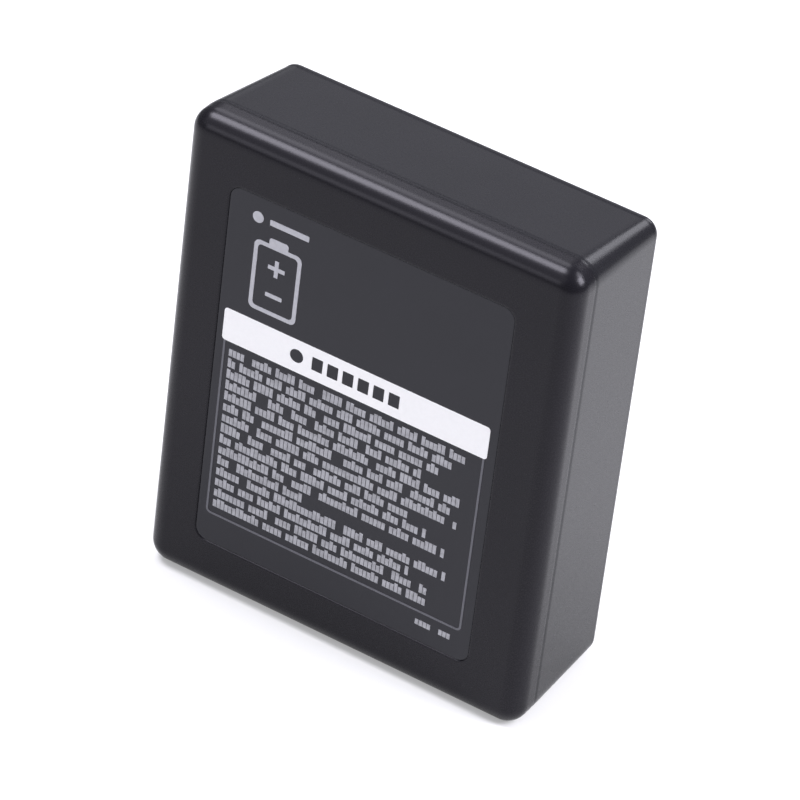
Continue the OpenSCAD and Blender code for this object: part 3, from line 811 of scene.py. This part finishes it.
def smoothFinish(name, colour, rough, grain, depth=0.000005):
    s = Shade(name, rough)
    cloud = s.noise(grain, 4, 0.6)
    s.colour(s.blend(s.ramp(cloud, 0, 1), tint(colour, 1 - plain["spread"]),
                     tint(colour, 1 + plain["spread"])))
    s.roughness(s.ramp(cloud, rough - plain["roughSpread"], rough + plain["roughSpread"]))
    s.bump(cloud, depth)
    return s.material


board = {
    "scale": 260,
    "track": 0.012,
    "colours": {
        "Color1": (0.01, 0.10, 0.035), "Color2": (0.012, 0.115, 0.04), "Mortar": (0.03, 0.2, 0.075),
    },
    "rough": (0.24, 0.36),
    "patch": 0.004,
    "grain": 0.0004,
    "depth": 0.000003,
}


def boardFinish(name):
    # solder mask with faint tracks under it
    s = Shade(name, 0.3)
    brick = s.add("ShaderNodeTexBrick")
    brick.inputs["Scale"].default_value = board["scale"]
    brick.inputs["Mortar Size"].default_value = board["track"]
    for socket, colour in board["colours"].items():
        brick.inputs[socket].default_value = (*colour, 1)
    s.join(s.place, brick.inputs["Vector"])
    s.colour(brick.outputs["Color"])
    s.roughness(s.ramp(s.noise(board["patch"]), *board["rough"]))
    s.bump(s.noise(board["grain"]), board["depth"])
    return s.material


steelCan = metalFinish("steelCan", (0.62, 0.63, 0.65), 0.3, (1, 1, 12))
nickelStrip = metalFinish("nickelStrip", (0.60, 0.58, 0.53), 0.32, (1, 10, 10))
goldPlate = metalFinish("goldPlate", (0.83, 0.58, 0.22), 0.24, (1, 6, 1), 0.0003)
finishes = [
    (steelCan, ["cell_1", "cell_2", "cell_3"]),
    (smoothFinish("shrinkSleeve", (0.05, 0.22, 0.18), 0.28, 0.003),
               ["sleeve_1", "sleeve_2", "sleeve_3"]),
    (smoothFinish("fibreRing", (0.80, 0.76, 0.66), 0.8, 0.0004, 0.00001),
             ["ring_1", "ring_2", "ring_3"]),
    (nickelStrip, ["top_link_strip", "bottom_link_strip", "positive_tab", "negative_tab"]),
    (smoothFinish("redInsulation", (0.45, 0.02, 0.02), 0.4, 0.002), ["positive_lead"]),
    (smoothFinish("yellowInsulation", (0.72, 0.50, 0.05), 0.4, 0.002), ["sense_lead"]),
    (smoothFinish("insulatingPaper", (0.25, 0.36, 0.28), 0.75, 0.0005, 0.00001),
              ["top_end_paper", "bottom_end_paper"]),
    (boardFinish("solderMask"), ["circuit_board"]),
    (goldPlate, ["contact_pads"]),
    (smoothFinish("chipResin", (0.02, 0.02, 0.02), 0.55, 0.0003),
              ["power_switches", "gauge_chip", "current_shunt"]),
    (smoothFinish("chipCeramic", (0.40, 0.27, 0.16), 0.5, 0.0004), ["small_parts"]),
    (smoothFinish("sensorResin", (0.03, 0.03, 0.035), 0.35, 0.0006), ["thermistor"]),
    (smoothFinish("mountingTape", (0.70, 0.70, 0.66), 0.8, 0.0005, 0.00002), ["cell_tape"]),
    (smoothFinish("foamPad", (0.05, 0.05, 0.055), 0.9, 0.0004, 0.00004), ["front_foam"]),
]


def paint(thing, material):
    thing.data.materials.clear()
    thing.data.materials.append(material)


for material, names in finishes:
    for name in names:
        paint(nodes[name], material)


def dress(thing, material, slot, *replaced):
    paint(thing, material)
    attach(thing, "root")
    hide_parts(*replaced)


dress(frontCover, coverPlastic, "case_black", "front_cover")
dress(rearShell, rearPlastic, "case_black_rear", "rear_case")
dress(makeFilm(), filmPlastic, "label_film", "label_film")
dress(makeBand(), whiteInk, "label_white", "label_band")
dress(makeBox(), lineInk, "label_grey", "label_print")
dress(makeSigns(), signInk, "label_grey", "label_print")
for row in makePrint(greyInk):
    dress(row, greyInk, "label_grey", "label_print")
print("label and finishes made")


studio = {
    "floorRadius": 0.34,
    "floorSides": 96,
    "floorColour": (0.48, 0.48, 0.48),
    "floorGlow": 0.3,
    "floorRough": 0.9,
    "floorSpecular": 0.1,
    "worldLight": 0.3,
    "worldColour": (0.97, 0.99, 1.06),
    "lampColour": (1.0, 0.99, 1.06),
}
# Turn is measured round the object from its back towards its right side, rise above the floor,
# both in degrees, and lengths are in metres
lamps = {
    "overhead": {"turn": -108, "rise": 64, "far": 1.2, "size": 0.54, "tall": 0.52, "power": 17},
    "overheadBack": {"turn": -39, "rise": 50, "far": 1.2, "size": 0.4, "tall": 0.6, "power": 3.6},
    "leftBack": {"turn": -26, "rise": 13, "far": 1.5, "size": 0.6, "tall": 0.35, "power": 0.54},
    "backRim": {"turn": 4.5, "rise": 25, "far": 1.0, "size": 0.34, "tall": 0.42, "power": 2.7},
    "backFloor": {"turn": 60, "rise": 50, "far": 1.1, "size": 0.45, "tall": 0.45, "power": 5.8},
    "rightSpot": {"turn": 82, "rise": 35, "far": 0.35, "size": 0.15, "tall": 0.15, "power": 1.5},
    "frontFill": {"turn": -150, "rise": 36, "far": 1.0, "size": 1.1, "tall": 0.8, "power": 2.4},
    "lowStrip": {"turn": -155.6, "rise": 16, "far": 0.38, "size": 0.11, "tall": 0.12,
                 "power": 0.15},
}


def lookAt(thing, place, target):
    thing.location = place
    thing.rotation_euler = (Vector(target) - Vector(place)).to_track_quat("-Z", "Y").to_euler()


def seenByLens(tree):
    # 1 for camera, glossy and transmission rays, 0 for the light that falls on the object
    path = tree.nodes.new("ShaderNodeLightPath").outputs
    add = tree.nodes.new("ShaderNodeMath")
    add.operation = "ADD"
    tree.links.new(path["Is Camera Ray"], add.inputs[0])
    tree.links.new(path["Is Glossy Ray"], add.inputs[1])
    more = tree.nodes.new("ShaderNodeMath")
    more.operation = "ADD"
    more.use_clamp = True
    tree.links.new(add.outputs[0], more.inputs[0])
    tree.links.new(path["Is Transmission Ray"], more.inputs[1])
    return more.outputs[0]


def makeFloor():
    bm = bmesh.new()
    bmesh.ops.create_circle(bm, cap_ends=True, segments=studio["floorSides"],
                            radius=studio["floorRadius"])
    mesh = bpy.data.meshes.new("floor")
    bm.to_mesh(mesh)
    bm.free()
    floor = bpy.data.objects.new("floor", mesh)
    bpy.context.scene.collection.objects.link(floor)
    s = Shade("paleFloor", studio["floorRough"], specular=studio["floorSpecular"])
    s.colour(studio["floorColour"])
    s.shader.inputs["Emission Color"].default_value = (1, 1, 1, 1)
    glow = s.add("ShaderNodeMath", operation="MULTIPLY")
    s.join(seenByLens(s.tree), glow.inputs[0])
    glow.inputs[1].default_value = studio["floorGlow"]
    s.join(glow.outputs[0], s.shader.inputs["Emission Strength"])
    floor.data.materials.append(s.material)


def makeWorld():
    world = bpy.data.worlds.new("studioWorld")
    bpy.context.scene.world = world
    world.use_nodes = True
    tree = world.node_tree
    background = tree.nodes["Background"]
    background.inputs["Color"].default_value = (*studio["worldColour"], 1)
    background.inputs["Strength"].default_value = studio["worldLight"]


def makeLamps():
    centre = Vector((0, 0, case["height"] / 2 * mm))
    for name, lamp in lamps.items():
        data = bpy.data.lights.new(name, "AREA")
        data.shape = "RECTANGLE"
        data.size = lamp["size"]
        data.size_y = lamp["tall"]
        data.energy = lamp["power"]
        data.color = studio["lampColour"]
        thing = bpy.data.objects.new(name, data)
        bpy.context.scene.collection.objects.link(thing)
        turn, rise = math.radians(lamp["turn"]), math.radians(lamp["rise"])
        away = Vector((math.sin(turn) * math.cos(rise), math.cos(turn) * math.cos(rise),
                       math.sin(rise)))
        lookAt(thing, centre + away * lamp["far"], centre)


makeFloor()
makeWorld()
makeLamps()
bpy.context.scene.view_settings.view_transform = "Standard"
print("floor and lights made")
